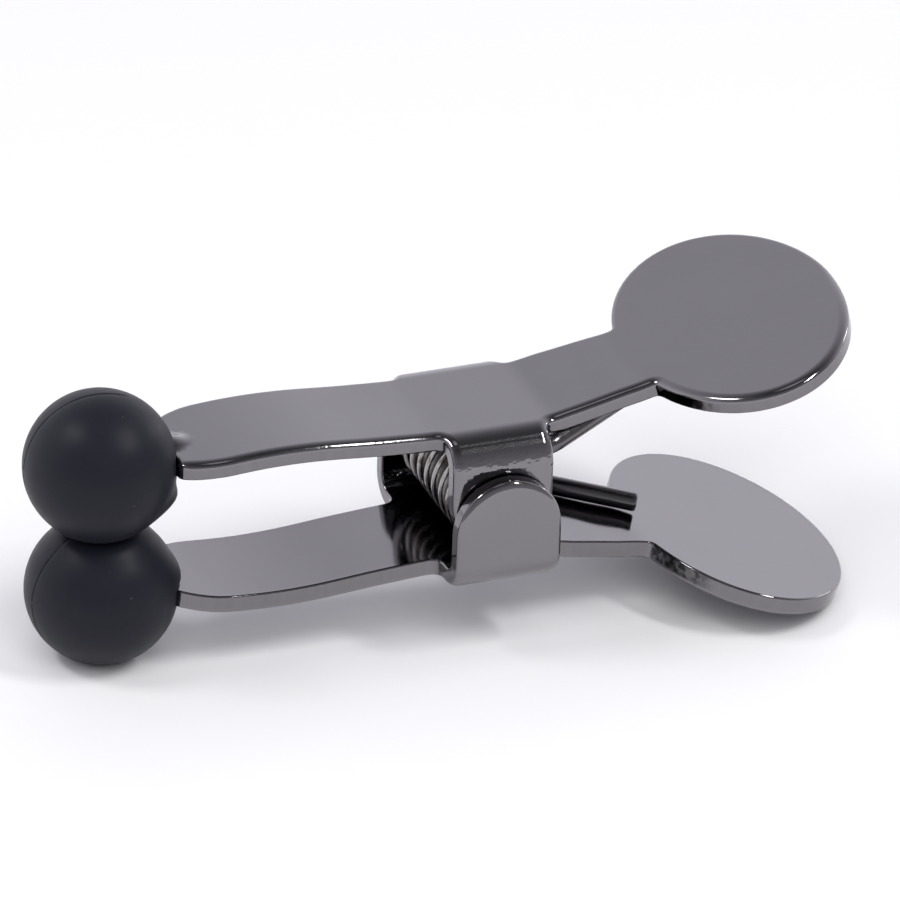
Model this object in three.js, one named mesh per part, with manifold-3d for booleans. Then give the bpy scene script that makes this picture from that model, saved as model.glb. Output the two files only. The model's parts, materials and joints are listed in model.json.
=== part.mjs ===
// Ball-tipped spring clamp, worked by finger and thumb.
// Two pressed-steel levers are hinged on a hidden pin. A torsion spring round the pin
// pushes the finger pads apart, which holds the two rubber balls against each other.
//
// Units are millimetres. X runs along the clamp from the balls (-X) to the pads (+X),
// Y is the hinge axis and Z is square to the levers, with the upper lever at +Z.
// Everything is drawn about the hinge axis, and the whole clamp is then moved in X so that
// the origin is the centre of its bounding box.

import * as THREE from 'three';
import { mergeVertices } from 'three/addons/utils/BufferGeometryUtils.js';
import Module from 'manifold-3d';

const wasm = await Module();
wasm.setup();

// ---- Driving dimensions -------------------------------------------------------------

const sheet = 2.4; // thickness of the lever blanks
const webHeight = 9.0; // mid-sheet height of each lever above the hinge axis, at the ears

// The arm's mid-sheet line, [x, z], from the tip of the tongue to the ears.
const armLine = [[-57, 8.7], [-51, 8.8], [-43, 9.15], [-37, 9.85], [-30.5, 10.25], [-24, 10.15], [-16, 9.5]];
const webHalf = 8.4; // the lever is flat for this far each side of the hinge axis
// The neck's mid-sheet line, from the ears to where the pad's slope takes over.
const neckLine = [[11, 9.6], [14.5, 10.25], [18, 10.95]];

const padCentreX = 35.7;
const padHeight = 15.45; // mid-sheet, at the pad's centre
const padTilt = THREE.MathUtils.degToRad(15.3);
const padAlong = 14.65; // the oval pad's semi-axis along the lever
const padAcross = 20.85; // and across it
const padOverlap = 6; // how far the neck's strip runs into the pad

const armHalfWidth = 8.1;
const neckHalfWidth = 7.4; // at the pad
const neckStartX = 11.6;
const shoulderStartX = -35.5;
const shoulderRadius = 11;
const shoulderEndX = -42.4;
const tongueHalfWidth = 4;
const tongueEndX = -56;
const ribRadius = 2.7;
const ribHeight = 0.9; // how far the pressed rib stands out of the sheet
const ribNoseX = -39;
const ribTailX = -53;
const ribMidHeight = 9.3; // mid-sheet height of the arm under the rib's nose

const ballRadius = 10;
const ballX = -51.1;
const ballHeight = 8.84; // less than the radius, because the balls press flat on each other
const slotMouthHalfWidth = 6.5; // the ball's slot is wider where the arm's shoulders enter it
const gap = 0.3; // between pieces that touch

const earEndCentre = 1.8; // height of the centre of an ear's round end, on its own lever's side
// The lower lever's ears sit outside the upper's. face is an ear's outer face, from the middle
// plane, bend is its outer bend radius, and halfWidth is half its width along the lever.
const upperEar = { face: 12.3, bend: 4.5, halfWidth: 6.9 };
const lowerEar = { face: upperEar.face + gap + sheet, bend: 4.4, halfWidth: 7.2 };
const rootFillet = 1.1; // where an ear's side runs into the arm's edge
const past = 2; // how far a cutting shape reaches past the piece that it cuts

const pinRadius = 3;
const runningClearance = 0.08;
const socketDepth = 1.4; // blind sockets for the pin in the lower lever's ears

const wire = 2.5;
const coilRadius = 5.0; // to the middle of the wire
const coilHalfLength = 8.2;
const coilTurns = 7; // whole turns counted before the legs' angle is taken off
const legSlope = THREE.MathUtils.degToRad(9.2);
const kneeX = 8.2;
const legTip = new THREE.Vector3(23.8, 0.9, 9.3);

// ---- Solids -------------------------------------------------------------------------

/** A manifold solid from a closed three.js geometry. */
function solid(geometry) {
  const bare = geometry.clone();
  bare.deleteAttribute('normal');
  bare.deleteAttribute('uv');
  const merged = mergeVertices(bare, 1e-4);
  return new wasm.Manifold(new wasm.Mesh({
    numProp: 3,
    vertProperties: new Float32Array(merged.attributes.position.array),
    triVerts: new Uint32Array(merged.index.array),
  }));
}

/** A three.js geometry from a manifold solid. */
function geometryOf(body) {
  const mesh = body.getMesh();
  const geometry = new THREE.BufferGeometry();
  geometry.setAttribute('position', new THREE.BufferAttribute(mesh.vertProperties, 3));
  geometry.setIndex(new THREE.BufferAttribute(mesh.triVerts, 1));
  geometry.computeVertexNormals();
  return geometry;
}

/** Extrudes a shape drawn in plan (X, Y) upwards from z = low to z = high. */
function extrudeUp(shape, low, high, curveSegments = 6) {
  const geometry = new THREE.ExtrudeGeometry(shape, { depth: high - low, bevelEnabled: false, curveSegments });
  return geometry.translate(0, 0, low);
}

/** Extrudes a shape drawn in side view (X, Z) across Y, from y = low to y = high. */
function extrudeAcross(shape, low, high, curveSegments = 12) {
  const geometry = new THREE.ExtrudeGeometry(shape, { depth: high - low, bevelEnabled: false, curveSegments });
  return geometry.rotateX(Math.PI / 2).translate(0, high, 0);
}

/** Extrudes a shape drawn in end view (Y, Z) along X, from x = low to x = high. */
function extrudeAlong(shape, low, high, curveSegments = 4) {
  const geometry = new THREE.ExtrudeGeometry(shape, { depth: high - low, bevelEnabled: false, curveSegments });
  return geometry.rotateX(Math.PI / 2).rotateZ(Math.PI / 2).translate(low, 0, 0);
}

/** A round bar across Y, centred on the hinge axis. */
function barAcross(radius, low, high) {
  return new THREE.CylinderGeometry(radius, radius, high - low, 48).translate(0, (low + high) / 2, 0);
}

// ---- Levers -------------------------------------------------------------------------

/** Mid-sheet points of the whole lever in side view, from the tongue to inside the pad. */
function leverMidLine() {
  const arm = new THREE.SplineCurve([...armLine, [-webHalf - 2, webHeight + 0.06], [-webHalf, webHeight]]
    .map(([x, z]) => new THREE.Vector2(x, z)));
  const padSlope = Math.tan(padTilt);
  const padStart = padCentreX - padAlong;
  const padStartHeight = padHeight - (padCentreX - padStart) * padSlope;
  const neck = new THREE.SplineCurve([[webHalf, webHeight], ...neckLine, [padStart, padStartHeight]]
    .map(([x, z]) => new THREE.Vector2(x, z)));
  const padInside = new THREE.Vector2(padStart + padOverlap, padStartHeight + padOverlap * padSlope);
  return [...arm.getPoints(20), ...neck.getPoints(8), padInside];
}

/** Side view of the sheet: the mid line thickened by half a sheet on each side. */
function sheetProfile(thickness) {
  const mid = leverMidLine();
  const upper = [];
  const lower = [];
  mid.forEach((point, i) => {
    const before = mid[Math.max(i - 1, 0)];
    const after = mid[Math.min(i + 1, mid.length - 1)];
    const level = Math.abs(point.x) <= webHalf;
    const along = level ? new THREE.Vector2(1, 0) : after.clone().sub(before).normalize();
    const normal = new THREE.Vector2(-along.y, along.x).multiplyScalar(thickness / 2);
    upper.push(point.clone().add(normal));
    lower.unshift(point.clone().sub(normal));
  });
  return new THREE.Shape([...upper, ...lower]);
}

/** Plan of the arm and neck: tongue, rounded shoulders, parallel arm, tapering neck. */
function armPlan() {
  const arcCentreY = armHalfWidth - shoulderRadius;
  const endAngle = Math.acos((shoulderEndX - shoulderStartX) / shoulderRadius);
  const neckEndX = padCentreX - padAlong + padOverlap / 2;
  const plan = new THREE.Shape();
  plan.moveTo(neckEndX, neckHalfWidth);
  plan.lineTo(neckStartX, armHalfWidth);
  plan.lineTo(shoulderStartX, armHalfWidth);
  plan.absarc(shoulderStartX, arcCentreY, shoulderRadius, Math.PI / 2, endAngle, false);
  plan.lineTo(shoulderEndX, tongueHalfWidth);
  plan.lineTo(tongueEndX + tongueHalfWidth, tongueHalfWidth);
  plan.absarc(tongueEndX + tongueHalfWidth, 0, tongueHalfWidth, Math.PI / 2, Math.PI * 1.5, false);
  plan.lineTo(shoulderEndX, -tongueHalfWidth);
  plan.absarc(shoulderStartX, -arcCentreY, shoulderRadius, -endAngle, -Math.PI / 2, false);
  plan.lineTo(neckStartX, -armHalfWidth);
  plan.lineTo(neckEndX, -neckHalfWidth);
  plan.closePath();
  return plan;
}

/** End view of the folded ears: a flat web with both edges bent down at a radius. */
function earSection(ear) {
  const top = webHeight + sheet / 2;
  const bottom = earEndCentre - ear.halfWidth - past;
  const innerFace = ear.face - sheet;
  const innerRadius = ear.bend - sheet;
  const bendZ = top - ear.bend;
  const bendY = ear.face - ear.bend;
  const section = new THREE.Shape();
  section.moveTo(ear.face, bottom);
  section.lineTo(ear.face, bendZ);
  section.absarc(bendY, bendZ, ear.bend, 0, Math.PI / 2, false);
  section.lineTo(-bendY, top);
  section.absarc(-bendY, bendZ, ear.bend, Math.PI / 2, Math.PI, false);
  section.lineTo(-ear.face, bottom);
  section.lineTo(-innerFace, bottom);
  section.lineTo(-innerFace, bendZ);
  section.absarc(-bendY, bendZ, innerRadius, Math.PI, Math.PI / 2, true);
  section.lineTo(bendY, top - sheet);
  section.absarc(bendY, bendZ, innerRadius, Math.PI / 2, 0, true);
  section.lineTo(innerFace, bottom);
  section.closePath();
  return section;
}

/** Side view of an ear: straight sides and a round end that reaches past the hinge axis. */
function earOutline(ear) {
  const rootHalfWidth = ear.halfWidth + rootFillet;
  const webUnderside = webHeight - sheet;
  const outline = new THREE.Shape();
  outline.moveTo(rootHalfWidth, webHeight + sheet);
  outline.lineTo(-rootHalfWidth, webHeight + sheet);
  outline.lineTo(-rootHalfWidth, webUnderside);
  outline.lineTo(-ear.halfWidth, webUnderside);
  outline.lineTo(-ear.halfWidth, earEndCentre);
  outline.absarc(0, earEndCentre, ear.halfWidth, Math.PI, Math.PI * 2, false);
  outline.lineTo(ear.halfWidth, webUnderside);
  outline.lineTo(rootHalfWidth, webUnderside);
  outline.closePath();
  return outline;
}

/** Plan of the ears: parallel sides that run into the arm's edges through small fillets. */
function earPlan(ear) {
  const reach = ear.face + past;
  const side = ear.halfWidth;
  const edge = armHalfWidth;
  const plan = new THREE.Shape();
  plan.moveTo(side, reach);
  plan.lineTo(-side, reach);
  plan.absarc(-side - rootFillet, edge + rootFillet, rootFillet, 0, -Math.PI / 2, true);
  plan.absarc(-side - rootFillet, -edge - rootFillet, rootFillet, Math.PI / 2, 0, true);
  plan.lineTo(-side, -reach);
  plan.lineTo(side, -reach);
  plan.absarc(side + rootFillet, -edge - rootFillet, rootFillet, Math.PI, Math.PI / 2, true);
  plan.absarc(side + rootFillet, edge + rootFillet, rootFillet, -Math.PI / 2, -Math.PI, true);
  plan.closePath();
  return plan;
}

/** The rib pressed into the tongue, as a round-ended bar that lies drop below its full height. */
function ribBar(radius, drop) {
  const straight = ribNoseX - ribTailX - 2 * ribRadius;
  const top = ribMidHeight + sheet / 2 + ribHeight - drop;
  return new THREE.CapsuleGeometry(radius, straight, 4, 16)
    .rotateZ(Math.PI / 2)
    .translate((ribNoseX + ribTailX) / 2, 0, top - ribRadius);
}

/** One lever, drawn as the upper one. */
function leverSolid(ear) {
  const stripReach = armHalfWidth + past;
  const strip = solid(extrudeAcross(sheetProfile(sheet), -stripReach, stripReach));
  const arm = strip.intersect(solid(extrudeUp(armPlan(), 0, 2 * padHeight)));

  const padShape = new THREE.Shape();
  padShape.absellipse(0, 0, padAlong, padAcross, 0, Math.PI * 2, false);
  const pad = extrudeUp(padShape, -sheet / 2, sheet / 2, 24)
    .rotateY(-padTilt)
    .translate(padCentreX, 0, padHeight);

  const foldHalfWidth = ear.halfWidth + rootFillet;
  const reach = ear.face + past;
  const height = 2 * webHeight;
  const ears = solid(extrudeAlong(earSection(ear), -foldHalfWidth, foldHalfWidth))
    .intersect(solid(extrudeAcross(earOutline(ear), -reach, reach)))
    .intersect(solid(extrudeUp(earPlan(ear), -height, height, 3)));

  return arm
    .add(solid(pad))
    .add(ears)
    .add(solid(ribBar(ribRadius, 0)))
    .subtract(solid(ribBar(ribRadius, sheet)));
}

/** The upper lever's ears turn on the pin, so they are drilled right through. */
function upperLeverGeometry() {
  const reach = upperEar.face + past;
  const pinHole = barAcross(pinRadius + runningClearance, -reach, reach);
  return geometryOf(leverSolid(upperEar).subtract(solid(pinHole)));
}

/** The lower lever's ears hold the pin's ends in blind sockets, so no pin shows outside. */
function lowerLeverGeometry() {
  const reach = lowerEar.face - sheet + socketDepth;
  const sockets = barAcross(pinRadius + runningClearance, -reach, reach);
  return geometryOf(leverSolid(lowerEar).subtract(solid(sockets))).rotateX(Math.PI);
}

function pinGeometry() {
  const reach = lowerEar.face - sheet + socketDepth - gap;
  return barAcross(pinRadius, -reach, reach);
}

// ---- Rubber balls -------------------------------------------------------------------

/** A ball drawn on the upper lever: flat where it meets the other, slotted for the tongue. */
function ballGeometry() {
  const profile = new THREE.Path();
  profile.absarc(0, 0, ballRadius, -Math.PI / 2, Math.PI / 2, false);
  const sphere = new THREE.LatheGeometry(profile.getPoints(16), 32)
    .rotateZ(Math.PI / 2)
    .translate(ballX, 0, ballHeight);

  const contactFlat = new THREE.BoxGeometry(4 * ballRadius, 4 * ballRadius, 2 * ballRadius)
    .translate(ballX, 0, gap / 2 - ballRadius);

  const openX = ballX + 2 * ballRadius;
  const mouthX = shoulderEndX - gap;
  const tipX = tongueEndX + tongueHalfWidth;
  const slotHalfWidth = tongueHalfWidth + gap;
  const slotPlan = new THREE.Shape();
  slotPlan.moveTo(openX, slotMouthHalfWidth);
  slotPlan.lineTo(mouthX, slotMouthHalfWidth);
  slotPlan.lineTo(mouthX, slotHalfWidth);
  slotPlan.lineTo(tipX, slotHalfWidth);
  slotPlan.absarc(tipX, 0, slotHalfWidth, Math.PI / 2, Math.PI * 1.5, false);
  slotPlan.lineTo(mouthX, -slotHalfWidth);
  slotPlan.lineTo(mouthX, -slotMouthHalfWidth);
  slotPlan.lineTo(openX, -slotMouthHalfWidth);
  slotPlan.closePath();
  const slotReach = slotMouthHalfWidth + past;
  const slot = solid(extrudeAcross(sheetProfile(sheet + 2 * gap), -slotReach, slotReach))
    .intersect(solid(extrudeUp(slotPlan, 0, 2 * ballHeight)));

  return geometryOf(solid(sphere)
    .subtract(solid(contactFlat))
    .subtract(slot)
    .subtract(solid(ribBar(ribRadius + gap, 0))));
}

// ---- Torsion spring -----------------------------------------------------------------

/** Centre line of the wire: one leg, the close-wound coil, and the other leg turned half over. */
function springPath() {
  const startAngle = Math.PI / 2 + legSlope;
  const sweep = coilTurns * 2 * Math.PI - 2 * startAngle;
  const coilSteps = 110;
  const coil = [];
  for (let i = 0; i <= coilSteps; i += 1) {
    const share = i / coilSteps;
    const angle = startAngle + sweep * share;
    coil.push(new THREE.Vector3(
      coilRadius * Math.cos(angle),
      coilHalfLength * (2 * share - 1),
      coilRadius * Math.sin(angle),
    ));
  }

  // The upper leg leaves the coil along its tangent, then slants in to the clamp's middle.
  const root = coil[0];
  const knee = new THREE.Vector3(kneeX, root.y, root.z + (kneeX - root.x) * Math.tan(legSlope));
  const tip = new THREE.Vector3(legTip.x, -legTip.y, legTip.z);
  const upperLeg = [
    root.clone().lerp(knee, 0.3),
    root.clone().lerp(knee, 0.6),
    root.clone().lerp(knee, 0.88),
    knee.clone().lerp(tip, 0.12),
    knee.clone().lerp(tip, 0.4),
    knee.clone().lerp(tip, 0.7),
    tip,
  ];
  const lowerLeg = upperLeg.map((point) => new THREE.Vector3(point.x, -point.y, -point.z));
  return new THREE.CatmullRomCurve3([...upperLeg.reverse(), ...coil, ...lowerLeg]);
}

function springGeometry() {
  const path = springPath();
  path.arcLengthDivisions = 1200;
  const section = new THREE.Shape();
  section.absarc(0, 0, wire / 2, 0, Math.PI * 2, false);
  return new THREE.ExtrudeGeometry(section, {
    extrudePath: path,
    steps: 150,
    bevelEnabled: false,
    curveSegments: 4,
  });
}

// ---- Assembly -----------------------------------------------------------------------

const plate = { color: 0x6c696e, metalness: 1, roughness: 0.14 };
const rubber = { color: 0x1d2026, metalness: 0, roughness: 0.6 };
const springSteel = { color: 0x17171a, metalness: 0.8, roughness: 0.35 };
const pinSteel = { color: 0x8a8a8c, metalness: 1, roughness: 0.3 };

function part(name, geometry, finish) {
  const mesh = new THREE.Mesh(geometry, new THREE.MeshStandardMaterial(finish));
  mesh.name = name;
  return mesh;
}

const clamp = new THREE.Group();
clamp.add(part('upper_lever', upperLeverGeometry(), plate));
clamp.add(part('lower_lever', lowerLeverGeometry(), plate));
clamp.add(part('pivot_pin', pinGeometry(), pinSteel));
clamp.add(part('torsion_spring', springGeometry(), springSteel));
clamp.add(part('upper_ball', ballGeometry(), rubber));
const lowerBall = part('lower_ball', ballGeometry(), rubber);
lowerBall.rotation.x = Math.PI;
clamp.add(lowerBall);

// The bounding box runs from the far side of the balls to the pads' rounded ends.
const padEndX = padCentreX + padAlong * Math.cos(padTilt) + (sheet / 2) * Math.sin(padTilt);
const centreX = (ballX - ballRadius + padEndX) / 2;
clamp.position.x = -centreX;

const group = new THREE.Group();
group.add(clamp);

export default group;
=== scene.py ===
"""A ball-tipped spring clamp on a pale floor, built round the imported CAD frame.

Pieces are drawn in millimetres about the hinge axis, with +X towards the finger pads and +Z on the
upper lever's side, and then moved to the frame's hinge and scaled to metres.
"""

import json
import math

import bpy
import numpy as np
from mathutils import Matrix, Vector
from mathutils.geometry import delaunay_2d_cdt


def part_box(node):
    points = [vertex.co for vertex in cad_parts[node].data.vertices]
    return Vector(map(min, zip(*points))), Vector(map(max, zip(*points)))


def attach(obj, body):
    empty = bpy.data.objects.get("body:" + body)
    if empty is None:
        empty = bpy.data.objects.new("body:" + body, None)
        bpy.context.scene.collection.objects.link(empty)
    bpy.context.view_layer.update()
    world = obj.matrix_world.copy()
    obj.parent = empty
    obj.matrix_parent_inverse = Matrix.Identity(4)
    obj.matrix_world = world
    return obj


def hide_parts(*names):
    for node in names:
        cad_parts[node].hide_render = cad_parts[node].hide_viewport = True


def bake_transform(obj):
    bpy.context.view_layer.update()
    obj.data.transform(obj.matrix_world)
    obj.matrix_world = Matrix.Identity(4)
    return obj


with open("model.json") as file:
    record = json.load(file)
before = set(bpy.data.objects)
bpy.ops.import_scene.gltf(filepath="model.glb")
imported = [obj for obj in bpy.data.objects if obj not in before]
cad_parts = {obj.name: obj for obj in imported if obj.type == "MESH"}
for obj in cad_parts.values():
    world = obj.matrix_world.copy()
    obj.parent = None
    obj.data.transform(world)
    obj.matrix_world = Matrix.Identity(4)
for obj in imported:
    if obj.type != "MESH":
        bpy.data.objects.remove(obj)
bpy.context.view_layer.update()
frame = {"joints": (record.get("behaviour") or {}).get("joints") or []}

MM = 0.001
HINGE = np.array(frame["joints"][0]["pos_m"])

# ---- Driving dimensions, mm ---------------------------------------------------------------

SHEET = 2.4  # thickness of the lever blanks
WEB_HEIGHT = 9.0  # mid-sheet height of each lever above the hinge axis, at the ears
WEB_HALF = 8.4  # half the length of the level stretch between the arm and the neck
# The mid-sheet lines of the arm and the neck, as (x, z). The pad carries on from the neck.
ARM_LINE = [(-57, 8.7), (-51, 8.8), (-43, 9.15), (-37, 9.85), (-30.5, 10.25), (-24, 10.15), (-16, 9.5)]
NECK_LINE = [(11, 9.6), (14.5, 10.25), (18, 10.95)]

PAD_CENTRE_X = 35.7
PAD_HEIGHT = 15.45
PAD_TILT = math.radians(15.3)
PAD_ALONG = 14.65  # half its length
PAD_ACROSS = 20.85  # half its width

ARM_HALF_WIDTH = 8.1
NECK_HALF_WIDTH = 7.4
NECK_START_X = 11.6
SHOULDER_START_X = -35.5
SHOULDER_RADIUS = 11.0
SHOULDER_END_X = -42.4
TONGUE_HALF_WIDTH = 4.0
TONGUE_END_X = -56.0
RIB_HEIGHT = 0.9  # how far the pressed rib stands out of the sheet
RIB_TAIL_X = -53.0
RIB_CREST = 0.4  # half the width of its level top
RIB_HALF_WIDTH = 2.7
RIB_NOSE_STRETCH = 1.35  # how much longer than wide its end towards the ears is

# Each lever's ears: how far out their outer faces lie, the outer radius of their bends and half
# their width, and where the lever's rib ends short of them.
UPPER_EAR = {"face": 12.3, "bend": 4.5, "half_width": 6.9, "rib_nose": -42.0}
LOWER_EAR = {"face": 15.0, "bend": 4.4, "half_width": 7.2, "rib_nose": -43.4}
EAR_END_CENTRE = 1.8  # height of the centre of an ear's round end
ROOT_FILLET = 1.1
# The line that the die left on the outside of the bends, and the dents beyond it, as shares of
# the bend. The dents set in over the first pair of shares and fade over the second.
DIE_LINE = 0.42
DENTS_START = (0.65, 0.78)
DENTS_END = (0.92, 1.04)
DIE_LINE_DEPTH = 0.045
DIE_LINE_WIDTH = 0.13

ROLLED_WIDTH = 1.3  # how far in from its edge the punch rolled the outer face over
ROLLED_DROP = 0.75  # and how far down the edge
UNEVEN_ROLL = 0.55  # how much less on the side where the punch sat closer to the die
CUT_EDGE = 0.3  # edge radius on the inner side

# Each piece of a pair is drawn as the upper one. The lower one is turned half round the clamp's
# long axis, through the hinge.
UPRIGHT = np.array([1, 1, 1])
TURNED_OVER = np.array([1, -1, -1])

PIN_RADIUS = 3.0
PIN_CLEARANCE = 0.08
SOCKET_DEPTH = 1.4
PIN_END_GAP = 0.3

EDGE_CLEARANCE = 0.3  # between the edges of a lever's faces and the loose points inside them

BALL_RADIUS = 10.0
CONTACT_GAP = 0.15  # between the two balls
# Each ball's centre, the height of the flat where it presses on the other, and how far and at what
# height its chin stands out. The lower ball is pushed a little further on to its tongue and sits a
# little lower.
UPPER_BALL = {"x": -51.1, "height": 8.8, "flat": -0.15, "chin": 1.35, "chin_height": -5.0}
LOWER_BALL = {
    "x": -50.45, "height": 9.15, "flat": 0.15 + CONTACT_GAP, "chin": 0.45, "chin_height": -2.2,
}
FLAT_CORNER = 0.12  # how softly a ball turns into its flat
SWELL = 0.22  # how far the rubber bulges beside the flat
SWELL_HEIGHT = 0.5
SWELL_SPREAD = 0.9
CHIN_SPREAD = 1.9  # of the rubber that stands out under the tongue, up and down
CHIN_SIDES = (2.5, 7.0)  # how far to either side it starts and ends falling away
CHIN_FRONT = (2.0, 6.0)  # and how far from the ball's centre towards the lever it sets in
MOUTH_HALF_WIDTH = 4.9
MOUTH_HALF_HEIGHT = 1.45
MOUTH_SQUARENESS = 6.0  # exponent of the mouth's superellipse
MOUTH_DEPTH = 3.2
MOUTH_LIP = 0.4
COLLAR_RADIUS = 5.6  # round the mouth, where the surface's rings turn from its outline to circles
COLLAR_WIDTH = 3.2
COLLAR_ROUND_AT = 4.0
POLE_SIDEWAYS = math.radians(7)  # how far the parting plane is turned from the clamp's middle plane
SEAMS = np.array([math.pi / 2, 3 * math.pi / 2])  # where the parting plane lies round the mouth
SEAM_DEPTH = 0.1
SEAM_WIDTH = 0.15
SEAM_ONSET = 6  # rings past the collar over which the seam deepens

WIRE = 2.5
COIL_RADIUS = 5.0
COIL_HALF_LENGTH = 8.2
COIL_TURNS = 7
LEG_SLOPE = math.radians(9.7)
KNEE_X = 8.2  # where a leg leaves its slope and runs on under the neck
LEG_TIP = (23.8, -0.9, 9.32)  # of the upper leg
# The coil's outer crests on its top side are painted lighter as a highlight, and its valleys between
# turns and its underside darker as painted shade: how far out from the wire's centre line, as shares
# of its radius, and from what height upwards the lighter crests reach.
PAINTED_LIGHT_REACH = (0.6, 0.92)
PAINTED_LIGHT_HEIGHT = (-4.5, -1.5)


# ---- Outlines and curves ------------------------------------------------------------------


def arc(centre, radius, start, end, step=0.2):
    """Points on an arc between two angles in degrees, about a step apart."""
    count = max(3, int(abs(math.radians(end - start)) * radius / step))
    angles = np.radians(np.linspace(start, end, count))
    return np.column_stack([centre[0] + radius * np.cos(angles), centre[1] + radius * np.sin(angles)])


def resample(points, step, closed):
    """The same line with points a step apart."""
    line = np.vstack([points, points[:1]]) if closed else np.asarray(points, float)
    along = np.concatenate([[0], np.cumsum(np.linalg.norm(np.diff(line, axis=0), axis=1))])
    count = int(round(along[-1] / step))
    at = np.linspace(0, along[-1], count + (0 if closed else 1), endpoint=not closed)
    return np.column_stack([np.interp(at, along, line[:, k]) for k in range(line.shape[1])])


def soften(points, sigma, closed):
    """Rounds a line's corners with a Gaussian, whose width sigma is counted in points."""
    reach = int(3 * sigma) + 1
    kernel = np.exp(-0.5 * (np.arange(-reach, reach + 1) / sigma) ** 2)
    kernel /= kernel.sum()
    if closed:
        padded = np.vstack([points[-reach:], points, points[:reach]])
    else:
        first = 2 * points[0] - points[reach:0:-1]
        last = 2 * points[-1] - points[-2 : -reach - 2 : -1]
        padded = np.vstack([first, points, last])
    return np.column_stack([np.convolve(padded[:, k], kernel, "valid") for k in range(points.shape[1])])


def catmull_rom(points, per_span=40):
    """A smooth curve through the points."""
    p = np.array([points[0], *points, points[-1]], float)
    out = []
    for i in range(1, len(p) - 2):
        t = np.linspace(0, 1, per_span, endpoint=False)[:, None]
        v0 = (p[i + 1] - p[i - 1]) / 2
        v1 = (p[i + 2] - p[i]) / 2
        a = 2 * p[i] - 2 * p[i + 1] + v0 + v1
        b = -3 * p[i] + 3 * p[i + 1] - 2 * v0 - v1
        out.append(a * t**3 + b * t**2 + v0 * t + p[i])
    return np.vstack([*out, p[-1:]])


def mid_line():
    """The lever's mid-sheet line in side view, as x, z and slope at close steps."""
    slope = math.tan(PAD_TILT)
    pad_start = PAD_CENTRE_X - PAD_ALONG
    pad_end = PAD_CENTRE_X + PAD_ALONG
    arm = catmull_rom([*ARM_LINE, (-WEB_HALF, WEB_HEIGHT)])
    neck = catmull_rom([(WEB_HALF, WEB_HEIGHT), *NECK_LINE, (pad_start, PAD_HEIGHT - PAD_ALONG * slope)])
    pad = np.array([(pad_end + 2, PAD_HEIGHT + (PAD_ALONG + 2) * slope)])
    line = np.vstack([arm, neck, pad])
    x = np.arange(line[0, 0], line[-1, 0], 0.1)
    z = np.interp(x, line[:, 0], line[:, 1])
    z = soften(np.column_stack([x, z]), 10, False)[:, 1]
    return x, z, np.gradient(z, x)


MID_X, MID_Z, MID_SLOPE = mid_line()


def smoothstep(low, high, value):
    t = np.clip((value - low) / (high - low), 0, 1)
    return t * t * (3 - 2 * t)


# ---- Meshes -------------------------------------------------------------------------------


def make_mesh(name, points, faces, layers=None, smooth=True, normals=None, flat_faces=()):
    """A mesh object from points in mm about the hinge, with named per-point float layers.

    Normals, one for each point, shade every face but the flat ones.
    """
    mesh = bpy.data.meshes.new(name)
    mesh.from_pydata((np.asarray(points) * MM + HINGE).tolist(), [], faces)
    for key, values in (layers or {}).items():
        layer = mesh.attributes.new(key, "FLOAT", "POINT")
        layer.data.foreach_set("value", np.asarray(values, np.float32))
    mesh.validate()
    if smooth:
        mesh.shade_smooth()
    else:
        mesh.shade_flat()
    if normals is not None:
        corners = np.empty(len(mesh.loops), int)
        mesh.loops.foreach_get("vertex_index", corners)
        shading = normals[corners]
        for index in flat_faces:
            polygon = mesh.polygons[index]
            polygon.use_smooth = False
            shading[list(polygon.loop_indices)] = 0
        mesh.normals_split_custom_set(shading.tolist())
    mesh.update()
    piece = bpy.data.objects.new(name, mesh)
    bpy.context.scene.collection.objects.link(piece)
    return piece


def ring_faces(rings, count):
    """Quads between neighbouring closed rings of count points each."""
    faces = []
    for k in range(rings - 1):
        a = k * count
        b = a + count
        for i in range(count):
            j = (i + 1) % count
            faces.append((a + i, b + i, b + j, a + j))
    return faces


# ---- Levers -------------------------------------------------------------------------------


def flat_length(ear, height):
    """How far across the flat blank a point of the ear lies that ends up at this height."""
    mid_radius = ear["bend"] - SHEET / 2
    return ear["face"] - ear["bend"] + mid_radius * math.pi / 2 + (WEB_HEIGHT - mid_radius - height)


def blank_outline(ear):
    """The lever's flat blank: tongue, shoulders, arm, ears, neck and pad, as a closed line."""
    half = ear["half_width"]
    shoulder_y = ARM_HALF_WIDTH - SHOULDER_RADIUS
    shoulder_end = math.degrees(math.acos((SHOULDER_END_X - SHOULDER_START_X) / SHOULDER_RADIUS))
    end_centre = flat_length(ear, EAR_END_CENTRE)
    fillet_y = ARM_HALF_WIDTH + ROOT_FILLET
    pad_semi_x = PAD_ALONG * math.cos(PAD_TILT)
    neck_angle = math.degrees(math.asin((NECK_HALF_WIDTH + 0.1) / PAD_ACROSS))
    pad = arc((0, 0), 1, 180 - neck_angle, 0, 0.01) * (pad_semi_x, PAD_ACROSS) + (PAD_CENTRE_X, 0)
    side = np.vstack([
        arc((TONGUE_END_X + TONGUE_HALF_WIDTH, 0), TONGUE_HALF_WIDTH, 180, 90),
        [(SHOULDER_END_X, TONGUE_HALF_WIDTH)],
        arc((SHOULDER_START_X, shoulder_y), SHOULDER_RADIUS, shoulder_end, 90),
        arc((-half - ROOT_FILLET, fillet_y), ROOT_FILLET, -90, 0),
        arc((0, end_centre), half, 180, 0),
        arc((half + ROOT_FILLET, fillet_y), ROOT_FILLET, 180, 270),
        [(NECK_START_X, ARM_HALF_WIDTH)],
        pad,
    ])
    other = side[-2:0:-1] * (1, -1)
    outline = resample(np.vstack([side, other]), 0.3, True)
    return soften(outline, 1.6, True)


def outward_normals(loop):
    """Outward normals of a closed line that runs clockwise."""
    tangent = np.roll(loop, -1, axis=0) - np.roll(loop, 1, axis=0)
    tangent /= np.linalg.norm(tangent, axis=1)[:, None]
    return np.column_stack([-tangent[:, 1], tangent[:, 0]])


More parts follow.
